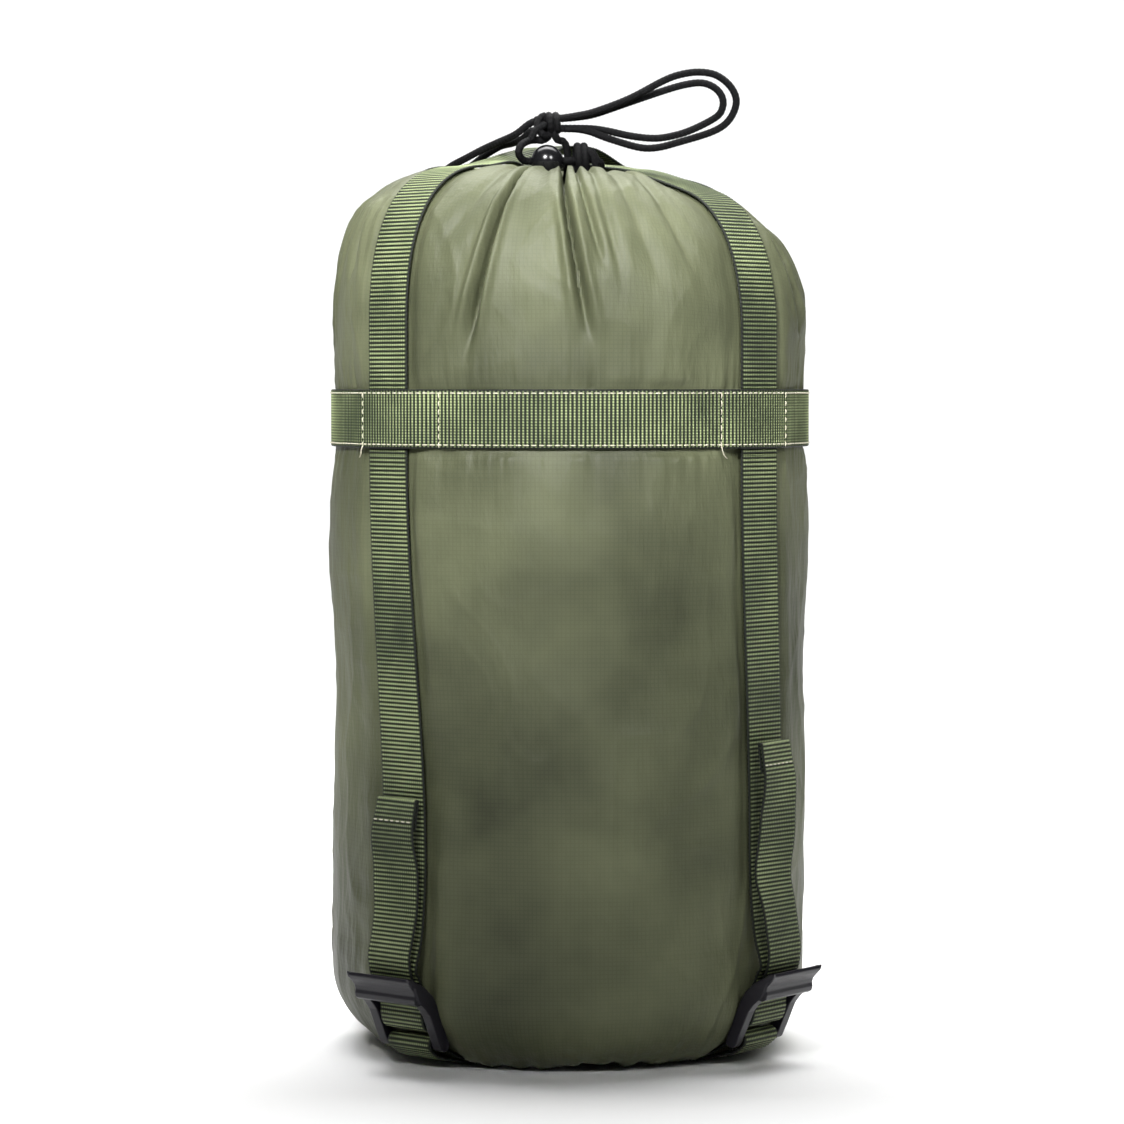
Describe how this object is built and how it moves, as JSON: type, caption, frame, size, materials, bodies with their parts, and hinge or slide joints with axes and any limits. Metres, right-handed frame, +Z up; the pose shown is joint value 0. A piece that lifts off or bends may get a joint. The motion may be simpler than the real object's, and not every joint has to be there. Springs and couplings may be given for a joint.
{
  "type": "compression sack",
  "caption": "Round fabric sack with a drawcord mouth and webbing straps that run through ladder-lock buckles at the base to squeeze it shorter.",
  "frame": {"origin": "middle of the footprint, on the surface that the sack stands on", "axes": "+Z up from the base to the mouth; -Y is the front, where the drawcord's knot and lock are; +X is the side that the drawcord's loop stands out to"},
  "size_m": [0.217, 0.2112, 0.4288],
  "materials": {
    "nylon": "satin woven nylon, olive",
    "webbing": "ribbed woven webbing, green",
    "cord": "braided cord, black",
    "buckle_plastic": "moulded, black, slight sheen",
    "lock_plastic": "polished, black",
    "spring_steel": "plain wire"
  },
  "bodies": {
    "sack_base": {"base_panel": "nylon", "base_seam_binding": "nylon", "lower_sack_wall": "nylon", "base_cross_strap_a": "webbing", "base_cross_strap_b": "webbing", "side_strap_front_left": "webbing", "side_strap_front_right": "webbing", "side_strap_rear_right": "webbing", "side_strap_rear_left": "webbing"},
    "crown": {"upper_sack_wall": "nylon", "mouth_channel": "nylon", "belt_band": "webbing", "top_cross_strap_a": "webbing", "top_cross_strap_b": "webbing", "drawcord_ring": "cord", "drawcord_strand_right": "cord", "drawcord_strand_left": "cord", "loop_outer": "cord", "loop_inner": "cord", "cord_end_upper": "cord", "cord_end_lower": "cord", "slip_knot": "cord", "stopper_knot": "cord", "cord_lock_barrel": "lock_plastic", "cord_lock_spring": "spring_steel"},
    "lock_plunger": {"cord_lock_plunger": "lock_plastic"},
    "buckle_front_left": {"ladder_lock_buckle_front_left": "buckle_plastic", "strap_wrap_front_left": "webbing"},
    "buckle_front_right": {"ladder_lock_buckle_front_right": "buckle_plastic", "strap_wrap_front_right": "webbing"},
    "buckle_rear_right": {"ladder_lock_buckle_rear_right": "buckle_plastic", "strap_wrap_rear_right": "webbing"},
    "buckle_rear_left": {"ladder_lock_buckle_rear_left": "buckle_plastic", "strap_wrap_rear_left": "webbing"},
    "tail_front_left": {"strap_tail_front_left": "webbing"},
    "tail_front_right": {"strap_tail_front_right": "webbing"},
    "tail_rear_right": {"strap_tail_rear_right": "webbing"},
    "tail_rear_left": {"strap_tail_rear_left": "webbing"}
  },
  "joints": [
    {"name": "compress", "type": "slide", "parent": "sack_base", "child": "crown", "axis": [0, 0, -1], "range_m": [0, 0.12], "deforming": ["lower_sack_wall", "side_strap_front_left", "side_strap_front_right", "side_strap_rear_right", "side_strap_rear_left"]},
    {"name": "lock_button", "type": "slide", "parent": "crown", "child": "lock_plunger", "axis": [0, -1, 0], "range_m": [0, 0.0022], "stiffness_N_per_m": 600, "springref_m": -0.002, "deforming": ["cord_lock_spring"]},
    {"name": "buckle_tilt_front_left", "type": "hinge", "parent": "sack_base", "child": "buckle_front_left", "pos_m": [-0.06668, -0.07406, 0.01152], "axis": [0.7431, -0.6691, 0], "range_deg": [0, 40]},
    {"name": "buckle_tilt_front_right", "type": "hinge", "parent": "sack_base", "child": "buckle_front_right", "pos_m": [0.07959, -0.05997, 0.01152], "axis": [0.6018, 0.7986, 0], "range_deg": [0, 40]},
    {"name": "buckle_tilt_rear_right", "type": "hinge", "parent": "sack_base", "child": "buckle_rear_right", "pos_m": [0.06668, 0.07406, 0.01152], "axis": [-0.7431, 0.6691, 0], "range_deg": [0, 40]},
    {"name": "buckle_tilt_rear_left", "type": "hinge", "parent": "sack_base", "child": "buckle_rear_left", "pos_m": [-0.07959, 0.05997, 0.01152], "axis": [-0.6018, -0.7986, 0], "range_deg": [0, 40]},
    {"name": "tail_feed_front_left", "type": "slide", "parent": "buckle_front_left", "child": "tail_front_left", "axis": [0, 0, 1], "range_m": [0, 0.12]},
    {"name": "tail_feed_front_right", "type": "slide", "parent": "buckle_front_right", "child": "tail_front_right", "axis": [0, 0, 1], "range_m": [0, 0.12]},
    {"name": "tail_feed_rear_right", "type": "slide", "parent": "buckle_rear_right", "child": "tail_rear_right", "axis": [0, 0, 1], "range_m": [0, 0.12]},
    {"name": "tail_feed_rear_left", "type": "slide", "parent": "buckle_rear_left", "child": "tail_rear_left", "axis": [0, 0, 1], "range_m": [0, 0.12]}
  ],
  "couplings": [
    {"joint": "tail_feed_front_left", "follows": "compress", "ratio": 1},
    {"joint": "tail_feed_front_right", "follows": "compress", "ratio": 1},
    {"joint": "tail_feed_rear_right", "follows": "compress", "ratio": 1},
    {"joint": "tail_feed_rear_left", "follows": "compress", "ratio": 1}
  ]
}
